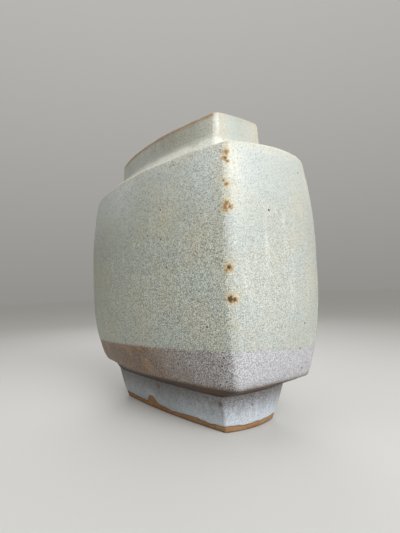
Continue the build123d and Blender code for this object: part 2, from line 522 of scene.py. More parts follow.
def quad_grid(row_count, column_count, closed):
    """Corner indices and grid places of the faces swept along rows and columns."""
    last = column_count if closed else column_count - 1
    row, column = np.meshgrid(np.arange(row_count), np.arange(last), indexing="ij")
    rows = np.stack((row, row, row + 1, row + 1), axis=-1).reshape(-1, 4)
    columns = np.stack((column, column + 1, column + 1, column), axis=-1).reshape(-1, 4)
    corners = (rows % row_count) * column_count + columns % column_count
    return corners, rows, columns


def unrolled(points, axis):
    """Places from 0 to 1 along one direction of a grid of points, closed back to its start."""
    steps = np.linalg.norm(np.roll(points, -1, axis=axis) - points, axis=2).mean(axis=1 - axis)
    places = np.concatenate(((0.0,), np.cumsum(steps)))
    return places / places[-1]


def add_piece(name, node, finish, runs, side=None, filled=False):
    """Sweeps the runs of a piece along one side, or right round, and sets it in the frame."""
    points = np.concatenate([run.rows for run in runs])
    normals = np.concatenate([run_normals(run.rows) for run in runs])
    start, count = SIDES[side] if side else (0, RING_COLUMNS - 1)
    columns = np.arange(start, start + count + 1) % RING_COLUMNS
    points, normals = points[:, columns], normals[:, columns]
    row_count, column_count = points.shape[:2]

    # A filled piece has no way through its middle, so its first and last rows aren't joined
    corners, rows, places = quad_grid(row_count, column_count, closed=side is None)
    if filled:
        kept = rows.max(axis=1) < row_count
        corners, rows, places = corners[kept], rows[kept], places[kept]
    faces = corners.tolist()
    first_row = list(range(column_count))
    ends = []
    if filled:
        ends = [first_row[::-1], [column + (row_count - 1) * column_count for column in first_row]]
    elif side:
        first = [row * column_count for row in range(row_count)]
        ends = [first, [corner + column_count - 1 for corner in reversed(first)]]

    mesh = bpy.data.meshes.new(name)
    mesh.from_pydata(points.reshape(-1, 3).tolist(), [], faces + ends)
    mesh.polygons.foreach_set("use_smooth", np.ones(len(mesh.polygons), dtype=bool))
    across = unrolled(points, axis=1)[places.ravel()] * UNROLLED_WIDTH
    along = unrolled(points, axis=0)[rows.ravel()]
    unroll = np.full((len(mesh.loops), 2), END_FACE_PLACE, dtype=np.float32)
    unroll[: across.size] = np.column_stack((across, along))
    mesh.uv_layers.new(name="OFBake").data.foreach_set("uv", unroll.ravel())
    for measure in ("dip", "edge", "thin", "calm", "rim", "neck_shade", "bare"):
        values = [run.measures.get(measure, np.zeros(run.rows.shape[:2])) for run in runs]
        layer = mesh.attributes.new(measure, "FLOAT", "POINT")
        layer.data.foreach_set("value", np.concatenate(values)[:, columns].astype(np.float32).ravel())
    mesh.materials.append(finish)
    mesh.normals_split_custom_set_from_vertices(normals.reshape(-1, 3).tolist())

    piece = bpy.data.objects.new(name, mesh)
    bpy.context.scene.collection.objects.link(piece)
    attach(piece, "root")
    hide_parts(node)


# Finishes

# Sockets of a mix node that hold its share and its two colours, and the one that gives its colour
MIX_SHARE_SOCKET = 0
MIX_FIRST_SOCKET = 6
MIX_SECOND_SOCKET = 7
MIX_RESULT_SOCKET = 2


class Finish:
    """Builds one material, a node at a time."""

    def __init__(self, name):
        self.material = bpy.data.materials.new(name)
        self.material.use_nodes = True
        self.tree = self.material.node_tree
        self.shader = self.tree.nodes["Principled BSDF"]
        self.place = self.tree.nodes.new("ShaderNodeTexCoord").outputs["Object"]

    def node(self, kind, **settings):
        """Adds a node and sets its options."""
        made = self.tree.nodes.new(kind)
        for name, value in settings.items():
            setattr(made, name, value)
        return made

    def feed(self, socket, value):
        """Links an output to a socket, or sets a plain value on it."""
        if isinstance(value, bpy.types.NodeSocket):
            self.tree.links.new(value, socket)
        elif socket.type == "RGBA":
            socket.default_value = (*value, 1.0)
        else:
            socket.default_value = value

    def measure(self, name):
        """A measure that the mesh carries at its points."""
        return self.node("ShaderNodeAttribute", attribute_name=name).outputs["Fac"]

    def stretched(self, scale):
        """Places with some directions drawn out."""
        mapping = self.node("ShaderNodeMapping")
        self.feed(mapping.inputs["Vector"], self.place)
        mapping.inputs["Scale"].default_value = scale
        return mapping.outputs["Vector"]

    def axis(self, letter):
        """One coordinate of the place."""
        split = self.node("ShaderNodeSeparateXYZ")
        self.feed(split.inputs["Vector"], self.place)
        return split.outputs[letter]

    def grain(self, size, seed, detail=2.0, roughness=0.5, place=None):
        """Cloudy values about 0.5, with clouds of about one size."""
        texture = self.node("ShaderNodeTexNoise", noise_dimensions="4D")
        self.feed(texture.inputs["Vector"], place or self.place)
        texture.inputs["W"].default_value = seed
        texture.inputs["Scale"].default_value = 1.0 / size
        texture.inputs["Detail"].default_value = detail
        texture.inputs["Roughness"].default_value = roughness
        return texture.outputs[0]

    def flecks(self, spacing, radius, share, seed):
        """Sparse round flecks: 1 inside them, on a share of cells of one spacing."""
        texture = self.node("ShaderNodeTexVoronoi", voronoi_dimensions="4D")
        self.feed(texture.inputs["Vector"], self.place)
        texture.inputs["W"].default_value = seed
        texture.inputs["Scale"].default_value = 1.0 / spacing
        near = self.eased(texture.outputs["Distance"], radius / spacing, radius / spacing / 2)
        split = self.node("ShaderNodeSeparateColor")
        self.feed(split.inputs["Color"], texture.outputs["Color"])
        chosen = self.math("LESS_THAN", split.outputs["Red"], share)
        return self.times(near, chosen)

    def math(self, operation, first, second):
        """Two values combined."""
        made = self.node("ShaderNodeMath", operation=operation)
        self.feed(made.inputs[0], first)
        self.feed(made.inputs[1], second)
        return made.outputs[0]

    def times(self, first, second):
        """Two values multiplied."""
        return self.math("MULTIPLY", first, second)

    def plus(self, first, second):
        """Two values added."""
        return self.math("ADD", first, second)

    def minus(self, first, second):
        """The second value taken from the first."""
        return self.math("SUBTRACT", first, second)

    def gap(self, first, second):
        """How far apart two values are."""
        return self.math("ABSOLUTE", self.minus(first, second), 0.0)

    def eased(self, value, low, high, least=0.0, most=1.0):
        """A value eased from least at low to most at high."""
        made = self.node("ShaderNodeMapRange", interpolation_type="SMOOTHSTEP")
        self.feed(made.inputs["Value"], value)
        made.inputs["From Min"].default_value = low
        made.inputs["From Max"].default_value = high
        made.inputs["To Min"].default_value = least
        made.inputs["To Max"].default_value = most
        return made.outputs["Result"]

    def between(self, share, first, second):
        """A value that goes from first to second as a share goes from 0 to 1."""
        return self.eased(share, 0.0, 1.0, first, second)

    def mixed(self, share, first, second):
        """First colour turned into the second by a share."""
        made = self.node("ShaderNodeMix", data_type="RGBA")
        self.feed(made.inputs[MIX_SHARE_SOCKET], share)
        self.feed(made.inputs[MIX_FIRST_SOCKET], first)
        self.feed(made.inputs[MIX_SECOND_SOCKET], second)
        return made.outputs[MIX_RESULT_SOCKET]

    def shown(self, mottle, start, full, strength=1.0):
        """A share that a mottle shows from start on, and at full strength from full on."""
        return self.eased(mottle, start, full, most=strength)

    def veiled(self, colour, veil, mottle, start, full, strength=1.0):
        """A colour under a veil of another one, where a mottle shows it."""
        return self.mixed(self.shown(mottle, start, full, strength), colour, veil)

    def toned(self, colour, tone):
        """A colour made darker or lighter."""
        made = self.node("ShaderNodeVectorMath", operation="SCALE")
        self.feed(made.inputs[0], colour)
        self.feed(made.inputs["Scale"], tone)
        return made.outputs["Vector"]

    def nearness(self, spots):
        """1 at the middle of the nearest spot, 0 at its edge, for (place, radius) pairs."""
        field = None
        for place, radius in spots:
            gap = self.node("ShaderNodeVectorMath", operation="DISTANCE")
            self.feed(gap.inputs[0], self.place)
            gap.inputs[1].default_value = place
            near = self.node("ShaderNodeMapRange", clamp=False)
            self.feed(near.inputs["Value"], gap.outputs["Value"])
            near.inputs["From Max"].default_value = radius
            near.inputs["To Min"].default_value = 1.0
            near.inputs["To Max"].default_value = 0.0
            value = near.outputs["Result"]
            field = value if field is None else self.math("MAXIMUM", field, value)
        return field

    def bumped(self, height, distance, strength, under=None):
        """A surface direction roughened by a height."""
        bump = self.node("ShaderNodeBump")
        self.feed(bump.inputs["Height"], height)
        bump.inputs["Distance"].default_value = distance
        bump.inputs["Strength"].default_value = strength
        if under:
            self.feed(bump.inputs["Normal"], under)
        return bump.outputs["Normal"]

    def done(self, colour, roughness, normal):
        """Feeds the shader and returns the material."""
        self.feed(self.shader.inputs["Base Color"], colour)
        self.feed(self.shader.inputs["Roughness"], roughness)
        self.feed(self.shader.inputs["Normal"], normal)
        return self.material


# Sizes of the grains, clouds and streaks in the glazes
CLOUD_SIZE = 0.026
PATCH_SIZE = 0.0095
WASH_SIZE = 0.020
GRAIN_SIZE = 0.00042
FINE_GRAIN_SIZE = 0.00044
PEPPER_SIZE = 0.00052
TINT_SIZE = 0.00070
PEEL_SIZE = 0.0016
BLOT_SIZE = 0.0009
STREAK_STRETCH = (1.0, 1.0, 0.14)
STREAK_SIZE = 0.0045
FOOT_STREAK_STRETCH = (1.0, 1.0, 0.30)
FOOT_STREAK_SIZE = 0.0020

# Sparse flecks, dark and pale: their spacing, their radius and the share of places that have one
FLECK_SPACING = 0.011
FLECK_RADIUS = 0.00042
FLECK_SHARE = 0.35
PALE_FLECK_SPACING = 0.0050
PALE_FLECK_RADIUS = 0.00075
PALE_FLECK_SHARE = 0.30
PALE_FLECK_STRENGTH = 0.45

# Values of a grain between which its colour and its gloss turn
GRAIN_SWING = (0.25, 0.75)
GLOSS_SWING = (0.30, 0.70)

# Relief of the grains and of the fine peel, and how strongly it shows
GRAIN_DEPTH = 0.00006
GRAIN_STRENGTH = 0.35
LOW_GRAIN_STRENGTH = 0.4
PEEL_DEPTH = 0.00012
PEEL_STRENGTH = 0.35

# Satin sheen of the body's glaze
GLAZE_ROUGHNESS = (0.38, 0.58)
GLAZE_IOR = 1.45
GLAZE_SPECULAR = 0.38
GLAZE_COAT = 0.06
GLAZE_COAT_ROUGHNESS = 0.25

# Colours in the green glaze. A set of values tells where in a mottle a colour starts to show, where it
# shows fully, and its strength there if that isn't 1. A single value is a strength.
OCHRE_CLOUDS = (0.46, 0.68, 0.65)
BLUE_WASHES = (0.42, 0.60, 0.60)
CREAM_STREAKS = (0.54, 0.74, 0.25)
# Painted cool tint of the light on the ends, in lavender
COOL_LIGHT_ON_ENDS = 0.22

# Heights between which a painted pale sheen of light from above grows towards the shoulder, and the green
# glaze turns smoother and more mottled
SHEEN_LEVELS = (0.094, SHOULDER_LEVEL)
SMOOTH_LEVELS = (0.070, 0.128)
MOTTLED_LEVELS = (0.095, 0.125)

# The painted sheen is weakest to the right of the middle: that place along the vase, its reach, the
# strength there and beyond, and the strength of all painted sheen, which is less on the ends
SHEEN_WEAK_PLACE = 0.030
SHEEN_WEAK_REACH = (0.008, 0.045)
SHEEN_WEAK_STRENGTHS = (0.60, 1.85)
SHEEN_STRENGTH = 0.60
SHEEN_ON_ENDS = 0.30

# Warmth of the neck's broad sides and its ends, and tone of the painted shade on its broad sides
NECK_WARMTHS = (0.34, 0.12)
NECK_SHADE_LEAST = 0.35
NECK_SHADE_STREAKS = (0.35, 0.65)
NECK_SHADE_TONES = (0.70, 0.86)

# Glaze that runs thin near the edges, in the same form as the colours above
UPPER_CREAM = 0.40
THIN_PATCHES = (0.62, 0.40)
THIN_OCHRE = (0.10, 0.90, 0.38)
TAN_BLOTS = (0.46, 0.62)
THIN_TAN = (0.25, 0.90, 0.60)

# Glaze broken to cream on the edges, with a painted highlight on the cove, and worn to brown on the rim,
# both less on the ends
EDGE_PATCHES = (0.30, 0.60)
EDGE_STRENGTHS = (0.4, 1.0)
EDGE_ON_ENDS = 0.65
EDGE_CREAM = (0.15, 0.95, 0.90)
RIM_PATCHES = (0.75, 1.05)
RIM_STRENGTHS = (0.45, 0.95)
RIM_ON_ENDS = 0.15

# Grains: how much of them the ends and the neck keep, their contrast below and above and in the low band,
# and the tinted, pale and dark ones
QUIET_ENDS = 0.50
QUIET_NECK = 0.60
GRAIN_CONTRASTS = (1.25, 0.55)
BAND_CONTRAST = 1.35
WARM_TINT = (0.54, 0.68, 0.55)
COOL_TINT = (0.46, 0.32, 0.55)
PALE_GRAINS = (0.55, 0.67)
PALE_GRAIN_STRENGTHS = (0.24, 0.62)
PEPPER_GRAINS = (0.56, 0.64, 0.90)

# Where the low band turns from thin brown glaze to thick lavender glaze along the vase
BAND_GREY_PLACES = (0.010, 0.063)
BAND_LAVENDER_PLACES = (0.070, 0.084)
BAND_WANDER = 0.020
UMBER_BLOTS = (0.44, 0.64)
BROWN_CLOUDS = (0.54, 0.68, 0.4)

# The dark foot of the low band, and the ragged edge of the green glaze
LOW_EDGE = 0.0032
LOW_LEVELS = (WALL_LEVEL + 0.4 * LOW_EDGE, WALL_LEVEL + 1.4 * LOW_EDGE)
LOW_STRENGTH = 0.92
DIP_RAGGED = 0.0024
DIP_RAGGED_LEVELS = (0.1 * DIP_RAGGED, 0.9 * DIP_RAGGED)

# Rust under the green glaze: its depth, how much likelier it is at the edge, and its patches
RUST_DEPTH = 0.0045
RUST_AT_EDGE = 0.18
RUST_PATCHES = (0.46, 0.66, 0.75)

# Glaze and clay of the floor slab: brown or toasted patches, the worn crest, tones and roughness
RIDGE_PATCHES = (0.40, 0.65)
CREST_PATCHES = (0.30, 0.55)
CREST_STRENGTHS = (0.35, 0.85)
RIDGE_TONES = (0.45, 1.05)
RIDGE_ROUGHNESS = (0.45, 0.65)
UNDERSIDE_TURN = (-0.5, 0.5)

# Dark marks on the foot: side, axis and place along it, height and radius
FOOT_MARKS = (
    ("front", 0, -0.0003, 0.0158, 0.0026),
    ("front", 0, 0.0518, 0.0149, 0.0018),
    ("right", 1, -0.0041, 0.0126, 0.0010),
    ("back", 0, 0.0220, 0.0130, 0.0016),
    ("left", 1, 0.0070, 0.0140, 0.0012),
)

# Painted shade at the top of the foot, under the body's overhang, and thick pale glaze where it ends:
# ragged depth, heights below the floor slab, depths above the clay, and how far the painted shade covers
HIGH_EDGE = 0.0050
TOP_SHADE_LEVELS = (FLOOR_LEVEL - 1.4 * HIGH_EDGE, FLOOR_LEVEL + HIGH_EDGE / 2)
TOP_SHADE_SHARE = 0.85
THICK_DEPTHS = (HIGH_EDGE / 2, 2.2 * HIGH_EDGE)
THICK_SHARE = 0.85

# Pale streaks, grey patches, dark grains and dark marks of the foot's glaze, the strength of its grains
# below and at the top, and the roughness of the clay and of the glaze
FOOT_STREAKS = (0.38, 0.64, 0.6)
FOOT_PATCHES = (0.52, 0.70, 0.6)
FOOT_CONTRASTS = (0.45, 1.10)
FOOT_PEPPER = (0.60, 0.70)
FOOT_PEPPER_STRENGTHS = (0.30, 0.80)
FOOT_MARK_TURN = (0.0, 0.7, 0.85)
FOOT_ROUGHNESS = (0.85, 0.38)

# Places along the vase between which the foot's glaze goes from painted shade on the left to painted light
# on the right, and its tones there
FOOT_SHADE_PLACES = (0.000, 0.052)
FOOT_SHADE_TONES = (0.78, 1.08)

# Places along the vase between which the clay turns warm, and how strongly, its warm patches, and its
# tones in the grains and the painted shade at the resting edge
CLAY_TONE_PLACES = (0.065, 0.030)
CLAY_TONE_STRENGTH = 0.15
CLAY_WARMTH = (0.90, 1.25, 0.80)
CLAY_TONES = (0.75, 1.25)
CLAY_EDGE_SHADE = 0.55

# Toasted clay below the glaze, the width of the glaze's edge, and the dark line along it
TOAST_WIDTH = 0.0010
TOAST_STRENGTH = 0.8
BARE_EDGE = 0.00025
BARE_LINE_STRENGTH = 0.6

# Iron spots by the corner edges: end and side of the corner, place round the vase from the edge, height,
# radius and radius of the core
IRON_SPOTS = (
    (1, -1, 0.0000, 0.1304, 0.0016, 0.0002),
    (1, -1, -0.0003, 0.1276, 0.0015, 0.0004),
    (1, -1, 0.0003, 0.1260, 0.0010, 0.0002),
    (1, -1, 0.0000, 0.1152, 0.0012, 0.0002),
    (1, -1, -0.0012, 0.1170, 0.0007, 0.0001),
    (1, -1, -0.0003, 0.1063, 0.0018, 0.0004),
    (1, -1, -0.0010, 0.1044, 0.0018, 0.0003),
    (1, -1, 0.0008, 0.1048, 0.0016, 0.0005),
    (1, -1, -0.0009, 0.0782, 0.0019, 0.0011),
    (1, -1, -0.0018, 0.0775, 0.0011, 0.0001),
    (1, -1, 0.0003, 0.0786, 0.0015, 0.0007),
    (1, -1, -0.0004, 0.0650, 0.0022, 0.0014),
    (1, -1, 0.0009, 0.0646, 0.0018, 0.0009),
    (1, 1, 0.0000, 0.1180, 0.0016, 0.0007),
    (1, 1, 0.0008, 0.0860, 0.0020, 0.0011),
    (1, 1, -0.0014, 0.0853, 0.0014, 0.0005),
    (1, 1, 0.0000, 0.0610, 0.0011, 0.0005),
    (-1, 1, 0.0004, 0.1230, 0.0018, 0.0007),
    (-1, 1, -0.0012, 0.1217, 0.0012, 0.0002),
    (-1, 1, 0.0000, 0.0990, 0.0012, 0.0005),
    (-1, 1, 0.0006, 0.0700, 0.0018, 0.0012),
    (-1, -1, 0.0000, 0.1110, 0.0015, 0.0007),
    (-1, -1, 0.0012, 0.1098, 0.0011, 0.0004),
    (-1, -1, 0.0000, 0.0820, 0.0011, 0.0004),
)

# Pinholes in the glaze of the front, by length and height, and of the right end, by width and height
FRONT_PINHOLES = (
    (0.0334, 0.1101),
    (0.0348, 0.0952),
    (0.0244, 0.0982),
    (0.0602, 0.0528),
    (0.0669, 0.0393),
    (0.0648, 0.0355),
    (0.0603, 0.0265),
    (0.0516, 0.0246),
    (0.0386, 0.0810),
    (0.0400, 0.1317),
)
END_PINHOLES = (
    (-0.0103, 0.1039),
    (0.0156, 0.1259),
    (0.0120, 0.0517),
    (0.0104, 0.0397),
    (0.0164, 0.0291),
)
PINHOLE_RADIUS = 0.00068

# How spots and pinholes fade outwards: nearness to their middle where a ring starts and is full, and its
# strength; the pale ring round a pinhole is a painted highlight. The wobble makes the outlines of the spots
# uneven.
SPOT_WOBBLE = 2.2
IRON_HALO = (-0.60, 0.15, 0.65)
IRON_MIDDLE = (-0.05, 0.60, 0.90)
IRON_CORE = (-0.10, 0.55, 0.85)
PINHOLE_HIGHLIGHT = (-1.0, -0.2, 0.18)
PINHOLE_MIDDLE = (0.05, 0.30)
PINHOLE_STRENGTH = 0.92

# Height between the rings that show how the uneven clay leans
RING_STEP = 0.001


def spot_places(shape):
    """Places and radii of the iron spots by the body's rounded corners, and of their cores."""
    spots, cores = [], []
    corner = BROAD_COLUMNS
    for end, side, around, height, radius, core_radius in IRON_SPOTS:
        row = level_row(body_outline(shape, height), body_corner(shape, height), height)
        steps = np.linalg.norm(row[1:] - row[:-1], axis=1)
        places = np.concatenate(((0.0,), np.cumsum(steps)))
        nearest = np.abs(places - places[corner] - around).argmin()
        x, y, z = row[nearest]
        place = (x * end, -y * side, z)
        spots.append((place, radius))
        cores.append((place, core_radius))
    return spots, cores


def uneven_ring(shape, height):
    """Points round the body's uneven outer face at one height."""
    levels = (height - RING_STEP, height, height + RING_STEP)
    rows = [level_row(body_outline(shape, level), body_corner(shape, level), level) for level in levels]
    return shaped(shape, np.array(rows), shape.dip_step)[1]


def pinhole_places(shape):
    """Places of the pinholes, on the front and the right end of the body."""
    pinholes = []
    for side, axis, places in (("front", 0, FRONT_PINHOLES), ("right", 1, END_PINHOLES)):
        start, count = SIDES[side]
        for place, height in places:
            face = uneven_ring(shape, height)[start : start + count]
            nearest = face[np.abs(face[:, axis] - place).argmin()]
            pinholes.append((tuple(nearest), PINHOLE_RADIUS))
    return pinholes


class BodyMottle:
    """Clouds, streaks, grains and places that the glazes of the body share."""

    def __init__(self, glaze):
        self.clouds = glaze.grain(CLOUD_SIZE, seed=1.0, detail=3.0)
        self.patches = glaze.grain(PATCH_SIZE, seed=2.0, detail=3.0)
        stretched = glaze.stretched(STREAK_STRETCH)
        self.streaks = glaze.grain(STREAK_SIZE, seed=3.0, detail=3.0, place=stretched)
        self.grains = glaze.grain(GRAIN_SIZE, seed=4.0, detail=0.0)
        self.blots = glaze.grain(BLOT_SIZE, seed=9.0, detail=2.0)
        self.calm = glaze.measure("calm")
        self.length = glaze.axis("X")
        self.height = glaze.axis("Z")
        self.on_neck = glaze.eased(self.height, SHOULDER_LEVEL, NECK_LEVEL + SLAB_THICKNESS)


def green_coat(glaze, mottle, colours):
    """Clouded green glaze, with a painted cool tint of the light on the ends, a painted pale sheen of light
    from above under the shoulder, and painted shade on the neck.
    """
    washes = glaze.grain(WASH_SIZE, seed=10.0, detail=1.0)
    colour = glaze.veiled(colours.green, colours.ochre, mottle.clouds, *OCHRE_CLOUDS)
    colour = glaze.veiled(colour, colours.blue, washes, *BLUE_WASHES)
    colour = glaze.veiled(colour, colours.cream, mottle.streaks, *CREAM_STREAKS)
    # Painted cool tint of the light on the ends
    colour = glaze.mixed(glaze.between(mottle.calm, 0.0, COOL_LIGHT_ON_ENDS), colour, colours.lavender)
    # Painted pale sheen of light from above, growing towards the shoulder
    sheen = glaze.eased(mottle.height, *SHEEN_LEVELS, most=SHEEN_STRENGTH)
    sheen = glaze.times(sheen, glaze.between(mottle.calm, 1.0, SHEEN_ON_ENDS))
    away = glaze.gap(mottle.length, SHEEN_WEAK_PLACE)
    sheen = glaze.times(sheen, glaze.eased(away, *SHEEN_WEAK_REACH, *SHEEN_WEAK_STRENGTHS))
    colour = glaze.mixed(sheen, colour, colours.top_sheen)
    warm = glaze.times(mottle.on_neck, glaze.between(mottle.calm, *NECK_WARMTHS))
    colour = glaze.mixed(warm, colour, colours.ochre)
    # Painted shade on the neck's broad sides, lighter to the left and varied by streaks
    neck_shade = glaze.eased(mottle.length, *NECK_SHADE_PLACES, least=NECK_SHADE_LEAST)
    neck_shade = glaze.times(glaze.measure("neck_shade"), neck_shade)
    depth = glaze.eased(mottle.streaks, *NECK_SHADE_STREAKS, *NECK_SHADE_TONES)
    tone = glaze.plus(glaze.times(neck_shade, glaze.minus(depth, 1.0)), 1.0)
    return glaze.toned(colour, tone)


def thinned_edges(glaze, mottle, colours, colour):
    """Glaze that runs thin near the edges, breaks to cream on them, with a painted highlight on the cove,
    and is worn brown on the rim.
    """
    thin = glaze.measure("thin")
    upper = glaze.times(thin, glaze.eased(mottle.height, *MOTTLED_LEVELS))
    colour = glaze.mixed(glaze.times(upper, UPPER_CREAM), colour, colours.cream)
    warm = glaze.times(thin, glaze.shown(mottle.patches, *THIN_PATCHES))
    colour = glaze.veiled(colour, colours.ochre, warm, *THIN_OCHRE)
    tan = glaze.times(upper, glaze.shown(mottle.blots, *TAN_BLOTS))
    colour = glaze.veiled(colour, colours.halo, tan, *THIN_TAN)
    # On the cove this cream is partly a painted highlight of light from above
    broken = glaze.eased(mottle.patches, *EDGE_PATCHES, *EDGE_STRENGTHS)
    edge = glaze.times(glaze.measure("edge"), broken)
    edge = glaze.times(edge, glaze.between(mottle.calm, 1.0, EDGE_ON_ENDS))
    colour = glaze.veiled(colour, colours.cream, edge, *EDGE_CREAM)
    worn = glaze.plus(mottle.patches, mottle.blots)
    worn = glaze.eased(worn, *RIM_PATCHES, *RIM_STRENGTHS)
    rim = glaze.times(glaze.measure("rim"), worn)
    rim = glaze.times(rim, glaze.between(mottle.calm, 1.0, RIM_ON_ENDS))
    return glaze.mixed(rim, colour, colours.rim)


def low_band(glaze, mottle, colours):
    """Glaze below the green coat: brown and rust, then grey, then lavender, and dark at its foot."""
    along = glaze.plus(mottle.length, glaze.times(mottle.patches, BAND_WANDER))
    burnt = glaze.eased(glaze.measure("dip"), -RUST_DEPTH, 0.0, most=RUST_AT_EDGE)
    burnt = glaze.plus(burnt, mottle.patches)
    brown = glaze.veiled(colours.brown, colours.umber, mottle.blots, *UMBER_BLOTS)
    brown = glaze.veiled(brown, colours.rust, burnt, *RUST_PATCHES)
    band = glaze.veiled(brown, colours.grey, along, *BAND_GREY_PLACES)
    band = glaze.veiled(band, colours.lavender, along, *BAND_LAVENDER_PLACES)
    band = glaze.veiled(band, brown, mottle.clouds, *BROWN_CLOUDS)
    low = glaze.plus(mottle.height, glaze.times(mottle.blots, LOW_EDGE))
    low = glaze.eased(low, *LOW_LEVELS, least=LOW_STRENGTH, most=0.0)
    return glaze.mixed(low, band, colours.ridge)


def dipped_share(glaze, mottle):
    """1 above the ragged lower edge of the green glaze, and 0 below it."""
    dip = glaze.plus(glaze.measure("dip"), glaze.times(mottle.blots, DIP_RAGGED))
    return glaze.eased(dip, *DIP_RAGGED_LEVELS)


def speckled(glaze, mottle, colours, colour, dipped):
    """Grains all over the glaze, calmer on the ends and towards the shoulder."""
    quiet = glaze.between(mottle.calm, 1.0, QUIET_ENDS)
    quiet = glaze.times(quiet, glaze.between(mottle.on_neck, 1.0, QUIET_NECK))
    contrast = glaze.eased(mottle.height, *SMOOTH_LEVELS, *GRAIN_CONTRASTS)
    contrast = glaze.times(contrast, quiet)
    contrast = glaze.times(contrast, glaze.between(dipped, BAND_CONTRAST, 1.0))
    swing = glaze.eased(mottle.grains, *GRAIN_SWING, -0.5, 0.5)
    colour = glaze.toned(colour, glaze.plus(glaze.times(swing, contrast), 1.0))
    tint = glaze.grain(TINT_SIZE, seed=12.0, detail=1.0)
    for turn, tinge in ((WARM_TINT, colours.ochre), (COOL_TINT, colours.blue)):
        tinted = glaze.times(glaze.shown(tint, *turn), dipped)
        colour = glaze.mixed(glaze.times(tinted, quiet), colour, tinge)
    lift = glaze.grain(FINE_GRAIN_SIZE, seed=5.0, detail=1.0)
    lift = glaze.times(glaze.shown(lift, *PALE_GRAINS), contrast)
    lift = glaze.times(lift, glaze.between(dipped, *PALE_GRAIN_STRENGTHS))
    colour = glaze.mixed(lift, colour, colours.cream)
    pepper = glaze.grain(PEPPER_SIZE, seed=8.0, detail=1.0)
    pepper = glaze.times(glaze.shown(pepper, *PEPPER_GRAINS), quiet)
    colour = glaze.mixed(pepper, colour, colours.dark_grain)
    flecks = glaze.flecks(PALE_FLECK_SPACING, PALE_FLECK_RADIUS, PALE_FLECK_SHARE, seed=11.0)
    return glaze.mixed(glaze.times(flecks, PALE_FLECK_STRENGTH), colour, colours.cream)


def spotted(glaze, mottle, shape, colours, colour):
    """Iron spots with warm rings and dark cores, and pinholes with a painted highlight round them."""
    wobble = glaze.times(glaze.minus(mottle.blots, 0.5), SPOT_WOBBLE)
    spots, cores = spot_places(shape)
    iron = glaze.plus(glaze.nearness(spots), wobble)
    colour = glaze.veiled(colour, colours.halo, iron, *IRON_HALO)
    colour = glaze.veiled(colour, colours.iron, iron, *IRON_MIDDLE)
    core = glaze.plus(glaze.nearness(cores), wobble)
    colour = glaze.veiled(colour, colours.iron_core, core, *IRON_CORE)
    holes = glaze.nearness(pinhole_places(shape))
    # Painted highlight round each pinhole
    colour = glaze.veiled(colour, colours.cream, holes, *PINHOLE_HIGHLIGHT)
    flecks = glaze.flecks(FLECK_SPACING, FLECK_RADIUS, FLECK_SHARE, seed=6.0)
    holes = glaze.math("MAXIMUM", glaze.shown(holes, *PINHOLE_MIDDLE), flecks)
    return glaze.mixed(glaze.times(holes, PINHOLE_STRENGTH), colour, colours.iron_core)


def body_finish(shape, colours):
    """Speckled green glaze over a low band of brown and lavender glaze, satin with a fine peel."""
    name = "speckled_green_glaze"
    if name in bpy.data.materials:
        return bpy.data.materials[name]
    glaze = Finish(name)
    mottle = BodyMottle(glaze)
    coat = thinned_edges(glaze, mottle, colours, green_coat(glaze, mottle, colours))
    dipped = dipped_share(glaze, mottle)
    colour = glaze.mixed(dipped, low_band(glaze, mottle, colours), coat)
    colour = speckled(glaze, mottle, colours, colour, dipped)
    colour = spotted(glaze, mottle, shape, colours, colour)
    peel = glaze.grain(PEEL_SIZE, seed=7.0, detail=2.0)
    normal = glaze.bumped(peel, distance=PEEL_DEPTH, strength=PEEL_STRENGTH)
    normal = glaze.bumped(mottle.grains, distance=GRAIN_DEPTH, strength=GRAIN_STRENGTH, under=normal)
    roughness = glaze.eased(mottle.grains, *GLOSS_SWING, *GLAZE_ROUGHNESS)
    glaze.shader.inputs["IOR"].default_value = GLAZE_IOR
    glaze.shader.inputs["Specular IOR Level"].default_value = GLAZE_SPECULAR
    glaze.shader.inputs["Coat Weight"].default_value = GLAZE_COAT
    glaze.shader.inputs["Coat Roughness"].default_value = GLAZE_COAT_ROUGHNESS
    return glaze.done(colour, roughness, normal)


def ridge_finish(shape, colours):
    """Dark glaze on the floor's edge, thin and tan on the crest of its ridge, painted shade on the slope
    under the ridge, and bare clay below.
    """
    name = "brown_ridge_glaze"
    if name in bpy.data.materials:
        return bpy.data.materials[name]
    glaze = Finish(name)
    grains = glaze.grain(GRAIN_SIZE, seed=21.0)
    patches = glaze.grain(PATCH_SIZE, seed=22.0, detail=3.0)
    height = glaze.axis("Z")
    colour = glaze.veiled(colours.ridge, colours.brown, patches, *RIDGE_PATCHES)
    crest = WALL_LEVEL - shape.groove_height - shape.ridge_height / 2
    worn = glaze.eased(glaze.gap(height, crest), shape.ridge_height / 2, 0.0)
    worn = glaze.times(worn, glaze.eased(patches, *CREST_PATCHES, *CREST_STRENGTHS))
    colour = glaze.mixed(worn, colour, colours.crest)
    # Painted shade on the floor's slope under the ridge
    slope_shade = glaze.eased(height, FLOOR_LEVEL, crest - shape.ridge_height, least=1.0, most=0.0)
    colour = glaze.mixed(slope_shade, colour, colours.ridge)
    clay = glaze.veiled(colours.clay, colours.toasted, patches, *RIDGE_PATCHES)
    colour = glaze.veiled(clay, colour, glaze.measure("bare"), *UNDERSIDE_TURN)
    colour = glaze.toned(colour, glaze.eased(grains, *GRAIN_SWING, *RIDGE_TONES))
    normal = glaze.bumped(grains, distance=GRAIN_DEPTH, strength=LOW_GRAIN_STRENGTH)
    roughness = glaze.eased(grains, *GLOSS_SWING, *RIDGE_ROUGHNESS)
    return glaze.done(colour, roughness, normal)


